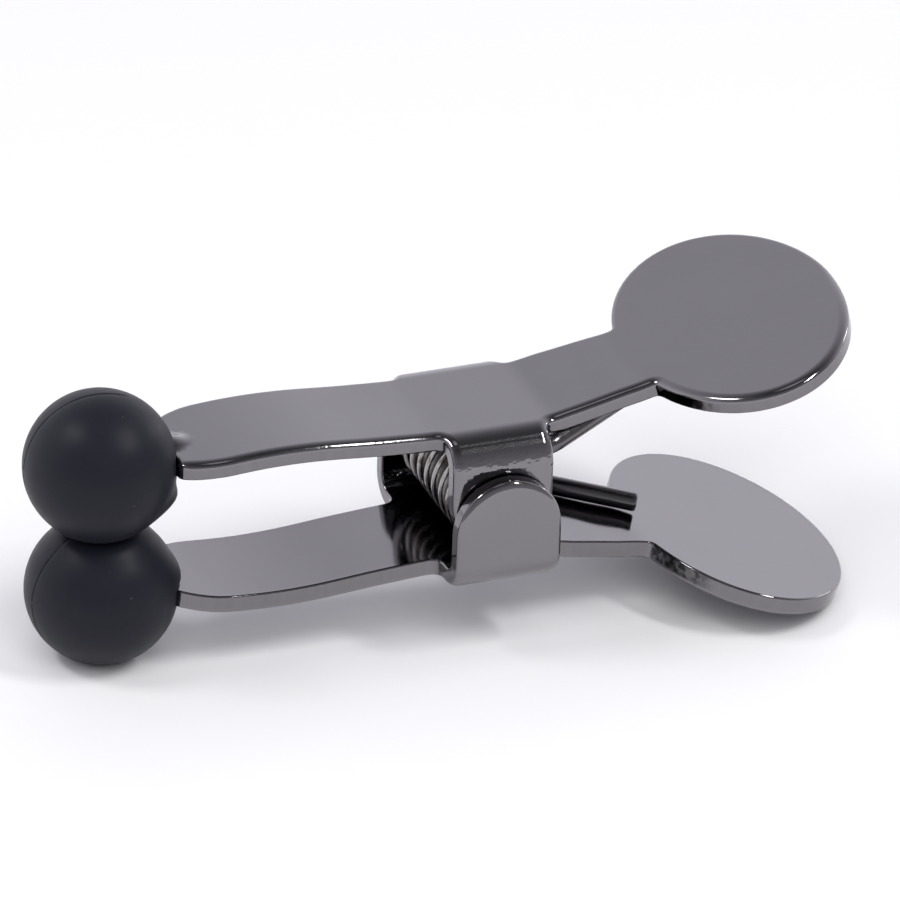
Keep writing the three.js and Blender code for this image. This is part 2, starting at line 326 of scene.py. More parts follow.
def inner_points(ring, normals, ear):
    """A staggered grid of points inside a ring, closer across the bends than along them."""
    bend_start = ear["face"] - ear["bend"]
    bend_end = bend_start + (ear["bend"] - SHEET / 2) * math.pi / 2
    coarse = 0.75
    fine = 0.3
    finest = 0.1
    ear_reach = ring[:, 1].max()
    die_line = bend_start + DIE_LINE * (bend_end - bend_start)
    across = np.unique(np.concatenate([
        die_line + np.arange(-3, 4) * finest,
        np.arange(0, bend_start, coarse),
        np.arange(bend_start, bend_end, fine),
        np.arange(bend_end, ear_reach, coarse),
    ]))
    across = np.concatenate([-across[:0:-1], across])
    along = np.arange(ring[:, 0].min(), ring[:, 0].max(), coarse)
    points = np.array([(x + (k % 2) * coarse / 2, y) for k, y in enumerate(across) for x in along])
    keep = []
    for start in range(0, len(points), 1000):
        block = points[start : start + 1000]
        apart = block[:, None, :] - ring[None, :, :]
        distance = np.linalg.norm(apart, axis=2)
        near = distance.argmin(axis=1)
        rows = np.arange(len(block))
        inside = np.einsum("ij,ij->i", apart[rows, near], normals[near]) < 0
        keep.append(block[inside & (distance[rows, near] > EDGE_CLEARANCE)])
    return np.vstack(keep)


def fold(flat, offset, ear):
    """Places points of the flat blank, offset from mid-sheet, on the formed lever."""
    x, y = flat[:, 0], flat[:, 1]
    mid_radius = ear["bend"] - SHEET / 2
    bend_start = ear["face"] - ear["bend"]
    ears_end = ear["half_width"] + ROOT_FILLET + 0.2
    flat_start = NECK_START_X - 0.6
    at_ears = 1 - smoothstep(ears_end, flat_start, np.abs(x))
    past = np.maximum(np.abs(y) - bend_start, 0) * at_ears
    turn = np.minimum(past / mid_radius, math.pi / 2)
    straight = past - turn * mid_radius
    side = np.sign(y)
    off_line = past - DIE_LINE * mid_radius * math.pi / 2
    outer = np.clip(offset / (SHEET / 2), 0, 1)
    die_line = DIE_LINE_DEPTH * np.exp(-((off_line / DIE_LINE_WIDTH) ** 2))
    offset = offset - die_line * outer * at_ears
    height = np.interp(x, MID_X, MID_Z)
    slope = np.interp(x, MID_X, MID_SLOPE)
    lean = 1 / np.sqrt(1 + slope**2)
    to_rib = np.clip(x, RIB_TAIL_X, ear["rib_nose"])
    ahead = np.where(x > ear["rib_nose"], RIB_NOSE_STRETCH, 1.0)
    rib_distance = np.hypot((x - to_rib) / ahead, y)
    offset = offset + RIB_HEIGHT * (1 - smoothstep(RIB_CREST, RIB_HALF_WIDTH, rib_distance))
    flat_y = np.where(past > 0, side * (np.abs(y) - past), y)
    across = flat_y + side * (mid_radius * np.sin(turn) + offset * np.sin(turn))
    z = height - mid_radius * (1 - np.cos(turn)) - straight + offset * np.cos(turn) * lean
    return np.column_stack([x - slope * lean * offset * np.cos(turn), across, z])


def fold_normals(flat, offset, ear, direction):
    """Carries normals of the flat blank, as (x, y, offset), over to the formed lever."""
    step = 0.05
    along = fold(flat + (step, 0), offset, ear) - fold(flat - (step, 0), offset, ear)
    across = fold(flat + (0, step), offset, ear) - fold(flat - (0, step), offset, ear)
    through = fold(flat, offset + step, ear) - fold(flat, offset - step, ear)
    normal = direction[:, :1] * np.cross(across, through)
    normal += direction[:, 1:2] * np.cross(through, along)
    normal += direction[:, 2:] * np.cross(along, across)
    return normal / np.linalg.norm(normal, axis=1)[:, None]


def roll_widths(outline):
    """How far in the rolled edge reaches at each point: less at an outward corner and near it."""
    before = outline - np.roll(outline, 1, axis=0)
    after = np.roll(outline, -1, axis=0) - outline
    step = np.linalg.norm(after, axis=1)
    bend = -(before[:, 0] * after[:, 1] - before[:, 1] * after[:, 0]) / step**2
    radius = step / np.maximum(bend, 1e-3)
    share_of_radius = 0.75
    widening = 0.5  # at most, for each step along the outline
    x, y = outline.T
    on_ears = smoothstep(ARM_HALF_WIDTH, ARM_HALF_WIDTH + 2, np.abs(y)) * (np.abs(x) < NECK_START_X)
    full = ROLLED_WIDTH * (1 - UNEVEN_ROLL * smoothstep(-4, 4, y) * (1 - on_ears))
    width = np.minimum(full, share_of_radius * radius)
    for _ in range(20):
        beside = np.minimum(np.roll(width, 1), np.roll(width, -1))
        width = np.minimum(width, beside + widening * step)
    return soften(width[:, None], 2, True)[:, 0]


def edge_rings(outline):
    """The rings of the sheet's edge, from the outer face to the inner one.

    Each is its points on the blank, their offset from mid-sheet, their normals and how far they
    lie on the sheared wall and on a rounded edge.
    """
    count = len(outline)
    out = outward_normals(outline)
    width = roll_widths(outline)
    drop = ROLLED_DROP * width / ROLLED_WIDTH
    half = SHEET / 2
    low = -half + CUT_EDGE
    rings = []

    def ring(inset, height, outwards, upwards, wall, rounded):
        """Adds the ring that lies inset from the outline, with its normals in two parts."""
        size = np.hypot(outwards, upwards)
        normals = np.column_stack([out * (outwards / size)[:, None], upwards / size])
        rings.append((outline - out * inset[:, None], height, normals, wall, rounded))

    full = np.ones(count)
    for angle in np.linspace(0, math.pi / 2, 12):
        ring(
            width * (1 - math.sin(angle)), half - drop * (1 - math.cos(angle)),
            drop * math.sin(angle), width * math.cos(angle), 0.0, math.sin(angle),
        )
    for share in (0.2, 0.6, 1.0):
        ring(0 * full, (half - drop) * (1 - share) + low * share, full, 0 * full, 1.0, 0.0)
    for angle in np.linspace(0, math.pi / 2, 5)[1:]:
        ring(
            CUT_EDGE * (1 - math.cos(angle)) * full, (low - CUT_EDGE * math.sin(angle)) * full,
            math.cos(angle) * full, -math.sin(angle) * full, 0.0, 1.0,
        )
    ring(width, -half * full, 0 * full, -full, 0.0, 0.0)
    return rings


def triangulate(points, loops):
    """Triangles between points in a plane, wound one way, that keep the edges of closed loops.

    A loop is given as the number of its first point and its count of points.
    """
    edges = [(start + i, start + (i + 1) % size) for start, size in loops for i in range(size)]
    result = delaunay_2d_cdt([Vector(p) for p in points], edges, [], 1, 1e-6)
    source = [originals[0] for originals in result[3]]
    triangles = np.array([[source[i] for i in face] for face in result[2]])
    corner = points[triangles]
    first = corner[:, 1] - corner[:, 0]
    second = corner[:, 2] - corner[:, 0]
    signed = first[:, 0] * second[:, 1] - first[:, 1] * second[:, 0]
    triangles[signed < 0] = triangles[signed < 0][:, ::-1]
    return triangles


def plating_layers(ear, outline, rings, flat):
    """What the plating looks up at each point of a lever, by name.

    wall and rounded say how far the point lies on the edge's sheared wall and on its rounded edges. A
    third layer says how far it lies on the walls beside the neck that face the ears, where a mottled
    dark reflection is painted. along is its way round the edge, in metres, and dented says how far the
    die dented the bend there.
    """
    count = len(outline)
    loose = np.zeros(len(flat) - len(rings) * count)
    wall = np.repeat([ring[3] for ring in rings], count)
    rounded = np.repeat([ring[4] for ring in rings], count)
    step = np.linalg.norm(np.roll(outline, -1, axis=0) - outline, axis=1)
    along = np.concatenate([[0], np.cumsum(step)[:-1]])
    # Painted dark reflection: the walls beside the neck that face the ears are marked for a mottled dark
    # tone.
    facing_ears = smoothstep(0.7, 0.85, -outward_normals(outline)[:, 0])
    beside_neck = facing_ears * (outline[:, 0] > NECK_START_X)
    on_edge = {
        "wall": wall,
        "rounded": rounded,
        "along": np.tile(along, len(rings)) * MM,
        "dark_reflection": np.tile(beside_neck, len(rings)) * wall,
    }
    layers = {name: np.concatenate([values, loose]) for name, values in on_edge.items()}
    bend_start = ear["face"] - ear["bend"]
    bend_length = (ear["bend"] - SHEET / 2) * math.pi / 2
    bent = (np.abs(flat[:, 1]) - bend_start) / bend_length
    dented = smoothstep(*DENTS_START, bent) * (1 - smoothstep(*DENTS_END, bent))
    layers["dented"] = dented * (np.abs(flat[:, 0]) < NECK_START_X)
    return layers


def make_lever(name, ear, through, turn):
    """One lever, drawn as the upper one. Its ears have through holes for the pin, or blind sockets."""
    outline = blank_outline(ear)
    count = len(outline)
    rings = edge_rings(outline)
    rim = rings[0][0]
    hole_count = 48
    hole_radius = PIN_RADIUS + PIN_CLEARANCE
    angles = np.linspace(0, 2 * math.pi, hole_count, endpoint=False)
    hole = np.column_stack([np.cos(angles), np.sin(angles)]) * hole_radius
    hole_centres = [(0, side * flat_length(ear, 0)) for side in (1, -1)]
    holes = [hole + centre for centre in hole_centres]
    inside = inner_points(rim, outward_normals(rim), ear)
    for centre in hole_centres:
        apart = np.linalg.norm(inside - centre, axis=1)
        inside = inside[np.abs(apart - hole_radius) > EDGE_CLEARANCE]
    given = np.vstack([rim, *holes, inside])
    hole_loops = [(count + k * hole_count, hole_count) for k in range(2)]
    triangles = triangulate(given, [(0, count), *hole_loops])
    middle = given[triangles].mean(axis=1)
    in_hole = np.min([np.linalg.norm(middle - c, axis=1) for c in hole_centres], axis=0) < PIN_RADIUS

    # The edge's rings come first, then three copies of the loose points inside the first ring:
    # on the outer face, on the inner face and on the floors of the blind sockets. Each copy has its
    # height from mid-sheet and the side that it faces.
    loose = given[count:]
    parts = [ring[:3] for ring in rings]
    for height, side in ((SHEET / 2, 1.0), (-SHEET / 2, -1.0), (SOCKET_DEPTH - SHEET / 2, -1.0)):
        heights = np.full(len(loose), height)
        parts.append((loose, heights, np.tile((0.0, 0.0, side), (len(loose), 1))))
    flat, offset, facing = (np.concatenate(values) for values in zip(*parts))
    base = len(rings) * count

    def on_face(corners, copy, ring):
        """Numbers of triangles' corners, from a copy of the loose points and from a ring."""
        on_ring = corners + ring * count
        return np.where(corners < count, on_ring, corners - count + base + copy * len(loose))

    holed = triangles[~in_hole]
    faces = [tuple(f) for f in on_face(holed if through else triangles, 0, 0)]
    faces += [tuple(f[::-1]) for f in on_face(holed, 1, len(rings) - 1)]
    faces += [f[::-1] for f in ring_faces(len(rings), count)]
    flat_start = len(faces)
    if not through:
        faces += [tuple(f[::-1]) for f in on_face(triangles[in_hole], 2, 0)]
    top = base if through else base + 2 * len(loose)
    low = base + len(loose)
    for k in range(2):
        for i in range(hole_count):
            a = k * hole_count + i
            b = k * hole_count + (i + 1) % hole_count
            faces.append((top + a, top + b, low + b, low + a))
    flat_faces = range(flat_start, len(faces))

    used = np.unique(np.concatenate([np.ravel(f) for f in faces]))
    renumber = np.full(len(flat), -1)
    renumber[used] = np.arange(len(used))
    faces = [tuple(int(renumber[i]) for i in f) for f in faces]
    points = fold(flat, offset, ear)[used] * turn
    normals = fold_normals(flat, offset, ear, facing)[used] * turn
    layers = plating_layers(ear, outline, rings, flat)
    layers = {key: values[used] for key, values in layers.items()}
    return make_mesh(name, points, faces, layers, normals=normals, flat_faces=flat_faces)


# ---- Pin ----------------------------------------------------------------------------------


def make_pin(name):
    """The hinge pin, turned, with chamfered ends."""
    reach = LOWER_EAR["face"] - SHEET + SOCKET_DEPTH - PIN_END_GAP
    chamfer = 0.4
    profile = [
        (-reach, PIN_RADIUS - chamfer),
        (-reach + chamfer, PIN_RADIUS),
        (reach - chamfer, PIN_RADIUS),
        (reach, PIN_RADIUS - chamfer),
    ]
    count = 64
    angles = np.linspace(0, 2 * math.pi, count, endpoint=False)
    points = [(radius * math.cos(a), y, radius * math.sin(a)) for y, radius in profile for a in angles]
    faces = ring_faces(len(profile), count)
    faces.append(tuple(range(count)))
    faces.append(tuple(reversed(range(3 * count, 4 * count))))
    return make_mesh(name, points, faces, smooth=False)


# ---- Torsion spring -----------------------------------------------------------------------


def spring_line():
    """Centre line of the wire from the upper leg's tip to the lower leg's tip."""
    start = math.pi / 2 + LEG_SLOPE
    sweep = COIL_TURNS * 2 * math.pi - 2 * start
    share = np.linspace(0, 1, 1200)
    turn = start + sweep * share
    shrink = 0.03  # what the softening takes off the coil's radius
    radius = COIL_RADIUS + shrink
    coil = np.column_stack([
        radius * np.cos(turn), COIL_HALF_LENGTH * (2 * share - 1), radius * np.sin(turn),
    ])
    root = coil[0]
    knee = (KNEE_X, root[1], root[2] + (KNEE_X - root[0]) * math.tan(LEG_SLOPE))
    leg = np.array([LEG_TIP, knee])
    line = np.vstack([leg, coil, leg[::-1] * (1, -1, -1)])
    return soften(resample(line, 0.2, False), 3, False)


def tube(line, radius, sides):
    """Rings of points round a line, with each ring carried on from the last without twist."""
    tangent = np.gradient(line, axis=0)
    tangent /= np.linalg.norm(tangent, axis=1)[:, None]
    normal = np.cross(tangent[0], (0, 1, 0))
    rings = []
    angles = np.linspace(0, 2 * math.pi, sides, endpoint=False)
    for point, along, size in zip(line, tangent, radius):
        normal = normal - along * (normal @ along)
        normal /= np.linalg.norm(normal)
        other = np.cross(along, normal)
        rings.append(point + size * (np.outer(np.cos(angles), normal) + np.outer(np.sin(angles), other)))
    return np.array(rings)


def make_spring():
    """The spring as a coil and two legs, which meet ring to ring."""
    line = spring_line()
    sides = 24
    radius = np.full(len(line), WIRE / 2)
    end_bevel = [0.86, 0.97]
    radius[:2] *= end_bevel
    radius[-2:] *= end_bevel[::-1]
    rings = tube(line, radius, sides)
    off_axis = np.hypot(line[:, 0], line[:, 2])
    in_coil = off_axis < COIL_RADIUS + 0.15
    first = int(np.argmax(in_coil))
    end = len(line) - 1
    last = end - int(np.argmax(in_coil[::-1]))
    spans = {
        "spring_leg_upper": (0, first),
        "spring_coil": (first, last),
        "spring_leg_lower": (last, end),
    }
    around = np.tile(np.arange(sides) / sides, len(line))
    coil_share = np.repeat(1 - smoothstep(COIL_RADIUS + 0.5, COIL_RADIUS + 4, off_axis), sides)
    # Painted light and shade on the coil: its outer crests on the top side lighter, its valleys and
    # underside dark.
    reach = np.hypot(rings[:, :, 0], rings[:, :, 2]).ravel() - COIL_RADIUS
    painted_crest_light = smoothstep(*PAINTED_LIGHT_REACH, reach / (WIRE / 2))
    painted_crest_light *= smoothstep(*PAINTED_LIGHT_HEIGHT, rings[:, :, 2].ravel())
    pieces = {}
    for name, (low, high) in spans.items():
        points = rings[low : high + 1].reshape(-1, 3)
        part = slice(low * sides, (high + 1) * sides)
        faces = ring_faces(high - low + 1, sides)
        faces.append(tuple(range(sides)))
        faces.append(tuple(reversed(range(len(points) - sides, len(points)))))
        faces = [f[::-1] for f in faces]
        pieces[name] = make_mesh(name, points, faces, {
            "around": around[part], "coil_share": coil_share[part], "painted_crest_light": painted_crest_light[part],
        })
    return pieces


# ---- Rubber balls -------------------------------------------------------------------------


def seam_angles():
    """Angles round the ball, evenly spread but for close ones at the two seams."""
    even = np.linspace(0, 2 * math.pi, 144, endpoint=False)
    near = np.radians([-1.3, -0.9, -0.55, -0.28, 0, 0.28, 0.55, 0.9, 1.3])
    clear = np.min(np.abs(even[:, None] - SEAMS), axis=1) > near[-1] + 0.01
    return np.sort(np.concatenate([even[clear], *(seam + near for seam in SEAMS)]))


def mouth_rings(around):
    """Rings from the slot's floor, out of the slot, over its lip and the collar.

    Each is its points' distances from the slot's middle, and how deep it lies in the sphere.
    """
    across = np.abs(np.cos(around) / MOUTH_HALF_WIDTH) ** MOUTH_SQUARENESS
    upward = np.abs(np.sin(around) / MOUTH_HALF_HEIGHT) ** MOUTH_SQUARENESS
    outline = (across + upward) ** (-1 / MOUTH_SQUARENESS)
    rings = [(outline * share, MOUTH_DEPTH) for share in (0.45, 0.85)]
    rings += [(outline, depth) for depth in (2.6, 1.8, 1.0, 0.55)]
    for angle in np.linspace(0, math.pi / 2, 6):
        rings.append((outline + MOUTH_LIP * (1 - math.cos(angle)), MOUTH_LIP * (1 - math.sin(angle))))
    lip = outline + MOUTH_LIP
    for grow in COLLAR_WIDTH * np.linspace(0.15, 1, 22) ** 1.3:
        share = smoothstep(0, COLLAR_ROUND_AT, grow)
        rings.append(((lip + grow) * (1 - share) + (COLLAR_RADIUS + grow) * share, 0.0))
    return rings


def make_ball(name, ball, turn):
    """A ball drawn on the upper lever: a moulded sphere with a slot's mouth for the tongue."""
    around = seam_angles()
    count = len(around)
    mouth_height = float(np.interp(SHOULDER_END_X, MID_X, MID_Z)) - ball["height"]
    rings = []
    for radius, depth in mouth_rings(around):
        y = radius * np.cos(around)
        z = radius * np.sin(around) + mouth_height
        reach = np.sqrt(np.maximum(BALL_RADIUS**2 - y**2 - z**2, 0.0))
        rings.append(np.column_stack([reach - depth, y, z]))

    # The rest of the sphere runs along great circles to a pole that is a little off to one side,
    # as the mould's parting plane is.
    collar_end = len(rings)
    start = rings[-1] / BALL_RADIUS
    pole = np.array([-math.cos(POLE_SIDEWAYS), math.sin(POLE_SIDEWAYS), 0])
    span = np.arccos(np.clip(start @ pole, -1, 1))[:, None]
    for share in np.linspace(0, 1, 64)[1:-1]:
        toward = np.sin((1 - share) * span) * start + np.sin(share * span) * pole
        rings.append(BALL_RADIUS * toward / np.sin(span))
    total = len(rings)

    # The mould's halves meet in a fine groove.
    turn_off_seam = np.min(np.abs(around[:, None] - SEAMS), axis=1)
    for k in range(collar_end, total):
        to_pole = span[:, 0] * (total - k) / (total - collar_end + 1)
        off_seam = turn_off_seam * BALL_RADIUS * np.sin(to_pole)
        onset = smoothstep(0, SEAM_ONSET, k - collar_end)
        sunk = onset * SEAM_DEPTH * np.exp(-((off_seam / SEAM_WIDTH) ** 2))
        rings[k] = rings[k] * (1 - sunk / BALL_RADIUS)[:, None]
    floor_reach = math.sqrt(BALL_RADIUS**2 - mouth_height**2) - MOUTH_DEPTH
    points = np.vstack([*rings, [BALL_RADIUS * pole, (floor_reach, 0, mouth_height)]])
    faces = ring_faces(total, count)
    tip = total * count
    floor = tip + 1
    last = tip - count
    for i in range(count):
        j = (i + 1) % count
        faces.append((i, j, floor))
        faces.append((last + i, tip, last + j))

    # A chin of rubber under the tongue stands out of the sphere.
    x, y, z = points.T
    chin = ball["chin"] * np.exp(-(((z - ball["chin_height"]) / CHIN_SPREAD) ** 2))
    chin *= (1 - smoothstep(*CHIN_SIDES, np.abs(y))) * smoothstep(*CHIN_FRONT, x)
    points[:, 0] += chin

    # Where the balls press on each other, each is flat, with a slight swell round the flat.
    points[:, 2] += ball["height"]
    height = points[:, 2] - ball["flat"]
    swell = SWELL * np.exp(-(((height - SWELL_HEIGHT) / SWELL_SPREAD) ** 2))
    swell *= height > -SWELL_HEIGHT
    from_axis = np.maximum(np.linalg.norm(points[:, :2], axis=1), 1e-6)
    points[:, :2] += points[:, :2] * (swell / from_axis)[:, None]
    points[:, 2] = ball["flat"] + (height + np.sqrt(height**2 + 4 * FLAT_CORNER**2)) / 2
    points[:, 0] += ball["x"]
    return make_mesh(name, points * turn, faces)


# ---- Materials ----------------------------------------------------------------------------


class Shader:
    """A small helper that makes and links the nodes of one material."""

    def __init__(self, name):
        self.material = bpy.data.materials.new(name)
        self.material.use_nodes = True
        self.tree = self.material.node_tree
        self.tree.nodes.clear()
        self.surface = self.add("ShaderNodeBsdfPrincipled")
        output = self.add("ShaderNodeOutputMaterial")
        self.link(self.surface.outputs[0], output.inputs["Surface"])
        self.place = self.add("ShaderNodeTexCoord").outputs["Object"]

    def add(self, kind, **settings):
        node = self.tree.nodes.new(kind)
        for key, value in settings.items():
            setattr(node, key, value)
        return node

    def link(self, source, target):
        self.tree.links.new(source, target)

    def noise(self, size_mm, detail=2.0, vector=None):
        """Noise whose features are about this many millimetres across."""
        node = self.add("ShaderNodeTexNoise")
        node.inputs["Scale"].default_value = 1 / (size_mm * MM)
        node.inputs["Detail"].default_value = detail
        self.link(vector or self.place, node.inputs["Vector"])
        return node.outputs["Fac"]

    def stretched(self, scale):
        """Object coordinates scaled by axis."""
        node = self.add("ShaderNodeVectorMath", operation="MULTIPLY")
        node.inputs[1].default_value = scale
        self.link(self.place, node.inputs[0])
        return node.outputs[0]

    def layer(self, name):
        """The values of one of the mesh's layers."""
        return self.add("ShaderNodeAttribute", attribute_name=name).outputs["Fac"]

    def run(self, name):
        """Coordinates that change only with a layer, for lines across its way."""
        node = self.add("ShaderNodeCombineXYZ")
        self.link(self.layer(name), node.inputs[0])
        return node.outputs[0]

    def math(self, operation, first, second):
        """Two values put together, either of which may be a plain number."""
        node = self.add("ShaderNodeMath", operation=operation)
        for socket, value in zip(node.inputs, (first, second)):
            if isinstance(value, (int, float)):
                socket.default_value = value
            else:
                self.link(value, socket)
        return node.outputs[0]

    def span(self, value, low, high, from_low=0.0, from_high=1.0):
        """Maps a value from one range to another, clamped."""
        node = self.add("ShaderNodeMapRange")
        ends = {"From Min": from_low, "From Max": from_high, "To Min": low, "To Max": high}
        for key, number in ends.items():
            node.inputs[key].default_value = number
        self.link(value, node.inputs["Value"])
        return node.outputs["Result"]

    def blend(self, share, first, second):
        """A colour between two, by a share from 0 to 1."""
        node = self.add("ShaderNodeMix", data_type="RGBA")
        self.link(share, node.inputs["Factor"])
        for socket, colour in ((node.inputs[6], first), (node.inputs[7], second)):
            if isinstance(colour, tuple):
                socket.default_value = (*colour, 1)
            else:
                self.link(colour, socket)
        return node.outputs[2]

    def bump(self, height, depth_mm, below=None):
        """A bump of that depth in millimetres, on top of another bump if one is given."""
        node = self.add("ShaderNodeBump")
        node.inputs["Strength"].default_value = 1.0
        node.inputs["Distance"].default_value = depth_mm * MM
        self.link(height, node.inputs["Height"])
        if below is not None:
            self.link(below, node.inputs["Normal"])
        return node.outputs["Normal"]

    def finish(self, colour, roughness, normal):
        """Joins the surface up and gives the finished material."""
        self.link(colour, self.surface.inputs["Base Color"])
        self.link(roughness, self.surface.inputs["Roughness"])
        self.link(normal, self.surface.inputs["Normal"])
        return self.material


def lever_plate():
    """Dark nickel plating over pressed sheet, polished, with a faint orange peel.

    It is dented where the die pressed the bends, streaked down the sheared walls and scuffed on the
    rounded edges. On the walls beside the neck that face the ears, a mottled dark reflection is
    painted in.
    """
    s = Shader("dark_nickel_plate")
    s.surface.inputs["Metallic"].default_value = 1.0
    tone = s.blend(s.noise(9), (0.207, 0.199, 0.208), (0.223, 0.215, 0.223))
    roughness = s.span(s.noise(2.2, 4), 0.085, 0.1, 0.3, 0.7)
    peel = s.bump(s.noise(2.6, 1), 0.0022)
    fine = s.bump(s.noise(0.5, 2), 0.0011, peel)
    dents = s.noise(0.75, 1, s.stretched((0.55, 1, 1)))
    bends = s.bump(s.math("MULTIPLY", dents, s.layer("dented")), 0.09, fine)
    sheared = s.math("MULTIPLY", s.noise(1.3, 3, s.run("along")), s.layer("wall"))
    walls = s.bump(sheared, 0.02, bends)
    tone = s.blend(s.math("MULTIPLY", sheared, 0.5), tone, (0.14, 0.133, 0.138))
    scuffed = s.math("MULTIPLY", s.noise(0.7, 2), s.layer("rounded"))
    # Painted dark reflection: mottled dark on the walls beside the neck that face the ears.
    painted_dark_reflection = s.math("MULTIPLY", s.span(s.noise(0.9, 2), 1.0, 0.35, 0.4, 0.6), s.layer("dark_reflection"))
    tone = s.blend(painted_dark_reflection, tone, (0.028, 0.027, 0.03))
    return s.finish(tone, roughness, s.bump(scuffed, 0.012, walls))


def ball_rubber():
    """Moulded rubber: satin, blue-black, with a few specks of dust."""
    s = Shader("ball_rubber")
    s.surface.inputs["IOR"].default_value = 1.28
    tone = s.blend(s.noise(5, 3), (0.0085, 0.0092, 0.0150), (0.0120, 0.0125, 0.0185))
    cells = s.add("ShaderNodeTexVoronoi")
    cells.inputs["Scale"].default_value = 1 / (1.7 * MM)
    s.link(s.place, cells.inputs["Vector"])
    speck = s.span(cells.outputs["Distance"], 1.0, 0.0, 0.03, 0.06)
    rare = s.span(s.noise(3.1, 0), 0.0, 1.0, 0.5, 0.54)
    dust = s.math("MULTIPLY", speck, rare)
    tone = s.blend(dust, tone, (0.11, 0.11, 0.12))
    roughness = s.span(s.noise(1.4, 4), 0.42, 0.48, 0.3, 0.7)
    grain = s.bump(s.noise(0.18, 2), 0.0012)
    return s.finish(tone, roughness, s.bump(s.noise(3.5, 1), 0.006, grain))


def spring_wire():
    """Hard-drawn dark wire with brown oil here and there. On the coil, the outer crests of its top side
    carry a painted highlight, and its valleys and underside painted shade.
    """
    s = Shader("spring_wire")
    s.surface.inputs["Metallic"].default_value = 1.0
    bright = s.blend(s.noise(1.6, 3), (0.2, 0.19, 0.185), (0.44, 0.42, 0.405))
    oil = s.span(s.noise(1.1, 3), 0.0, 0.8, 0.52, 0.64)
    highlight_and_oil = s.blend(oil, bright, (0.075, 0.054, 0.043))
    # Painted highlight on the top crests with brown oil, painted shade in the valleys and underneath.
    coil = s.blend(s.layer("painted_crest_light"), (0.05, 0.046, 0.045), highlight_and_oil)
    tone = s.blend(s.layer("coil_share"), (0.135, 0.13, 0.133), coil)
    drawn = s.add("ShaderNodeTexNoise")
    drawn.inputs["Scale"].default_value = 30  # lines round the wire
    s.link(s.run("around"), drawn.inputs["Vector"])
    roughness = s.span(s.noise(1.2, 3), 0.1, 0.24, 0.3, 0.7)
    return s.finish(tone, roughness, s.bump(drawn.outputs["Fac"], 0.02))


def pin_steel():
    """Turned steel, left plain."""
    s = Shader("pin_steel")
    s.surface.inputs["Metallic"].default_value = 1.0
    tone = s.blend(s.noise(3), (0.42, 0.41, 0.41), (0.5, 0.49, 0.48))
    turned = s.noise(0.12, 2, s.stretched((0.05, 1, 0.05)))
    return s.finish(tone, s.span(turned, 0.25, 0.38), s.bump(turned, 0.004))


def floor_paint():
    """A pale, matt studio floor."""
    s = Shader("floor_paint")
    tone = s.blend(s.noise(400, 2), (0.84, 0.84, 0.85), (0.86, 0.86, 0.87))
    return s.finish(tone, s.span(s.noise(60, 2), 0.6, 0.7), s.bump(s.noise(2, 2), 0.002))


# ---- Studio -------------------------------------------------------------------------------

AZIMUTH = math.radians(-21.8)
ELEVATION = math.radians(28.01)
ROLL = math.radians(1.9)
TO_CAMERA = Vector((
    math.sin(AZIMUTH) * math.cos(ELEVATION),
    -math.cos(AZIMUTH) * math.cos(ELEVATION),
    math.sin(ELEVATION),
))
CAMERA_DISTANCE = 3.333  # metres
SENSOR_WIDTH = 36.0
PICTURE_WIDTH = 116.12  # mm across the picture at the clamp
# The middle of the picture, in mm: a point on the clamp's long axis, from the middle of its box,
# and from there how far to the left and up in the picture.
AIM_X = 4.577
AIM_LEFT = 1.69
AIM_UP = 2.503

# How bright the studio is by elevation in degrees, in front of the clamp and behind it, and its
# tint as red, green and blue.
FRONT_LEVELS = [
    (-90, 0.5), (0, 0.5), (10, 0.45), (28, 0.36),
    (45, 0.22), (56, 0.16), (77, 0.1), (84, 0.75),
]
BACK_LEVELS = [
    (-90, 1.2), (0, 1.2), (14, 1.17), (25, 1.08), (35, 0.88),
    (45, 0.6), (56, 0.34), (77, 0.1), (84, 0.75),
]
STUDIO_TINT = (0.985, 0.975, 1.06)
FLOOR_HALF_WIDTH = 4.0  # metres
FLOOR_GAP = 0.05 * MM  # under the lower ball


def add_camera():
    """A long lens at the photograph's angle, with the clamp in the middle of the picture."""
    data = bpy.data.cameras.new("camera")
    data.sensor_width = SENSOR_WIDTH
    data.lens = SENSOR_WIDTH * CAMERA_DISTANCE / (PICTURE_WIDTH * MM)
    data.clip_start = 0.5
    data.clip_end = 20
    camera = bpy.data.objects.new("camera", data)
    turn = (-TO_CAMERA).to_track_quat("-Z", "Y").to_matrix() @ Matrix.Rotation(ROLL, 3, "Z")
    right = turn.col[0]
    up = turn.col[1]
    aim = (Vector((AIM_X, 0, 0)) - right * AIM_LEFT + up * AIM_UP) * MM
    camera.matrix_world = Matrix.Translation(aim + TO_CAMERA * CAMERA_DISTANCE) @ turn.to_4x4()
    bpy.context.scene.collection.objects.link(camera)
    bpy.context.scene.camera = camera


def add_softbox(name, direction, distance, size, radiance, in_reflections=True):
    """A rectangular light that faces the clamp, with its second side across the clamp's length.

    Its radiance, unlike its energy, is the same whatever its size.
    """
    data = bpy.data.lights.new(name, "AREA")
    data.shape = "RECTANGLE"
    data.size, data.size_y = size
    data.energy = radiance * math.pi * size[0] * size[1]
    light = bpy.data.objects.new(name, data)
    light.visible_camera = False
    light.visible_glossy = in_reflections
    toward = Vector(direction).normalized()
    across = Vector((1, 0, 0)).cross(toward).normalized()
    turn = Matrix((across.cross(toward), across, toward)).transposed()
    light.matrix_world = Matrix.Translation(toward * distance) @ turn.to_4x4()
    bpy.context.scene.collection.objects.link(light)


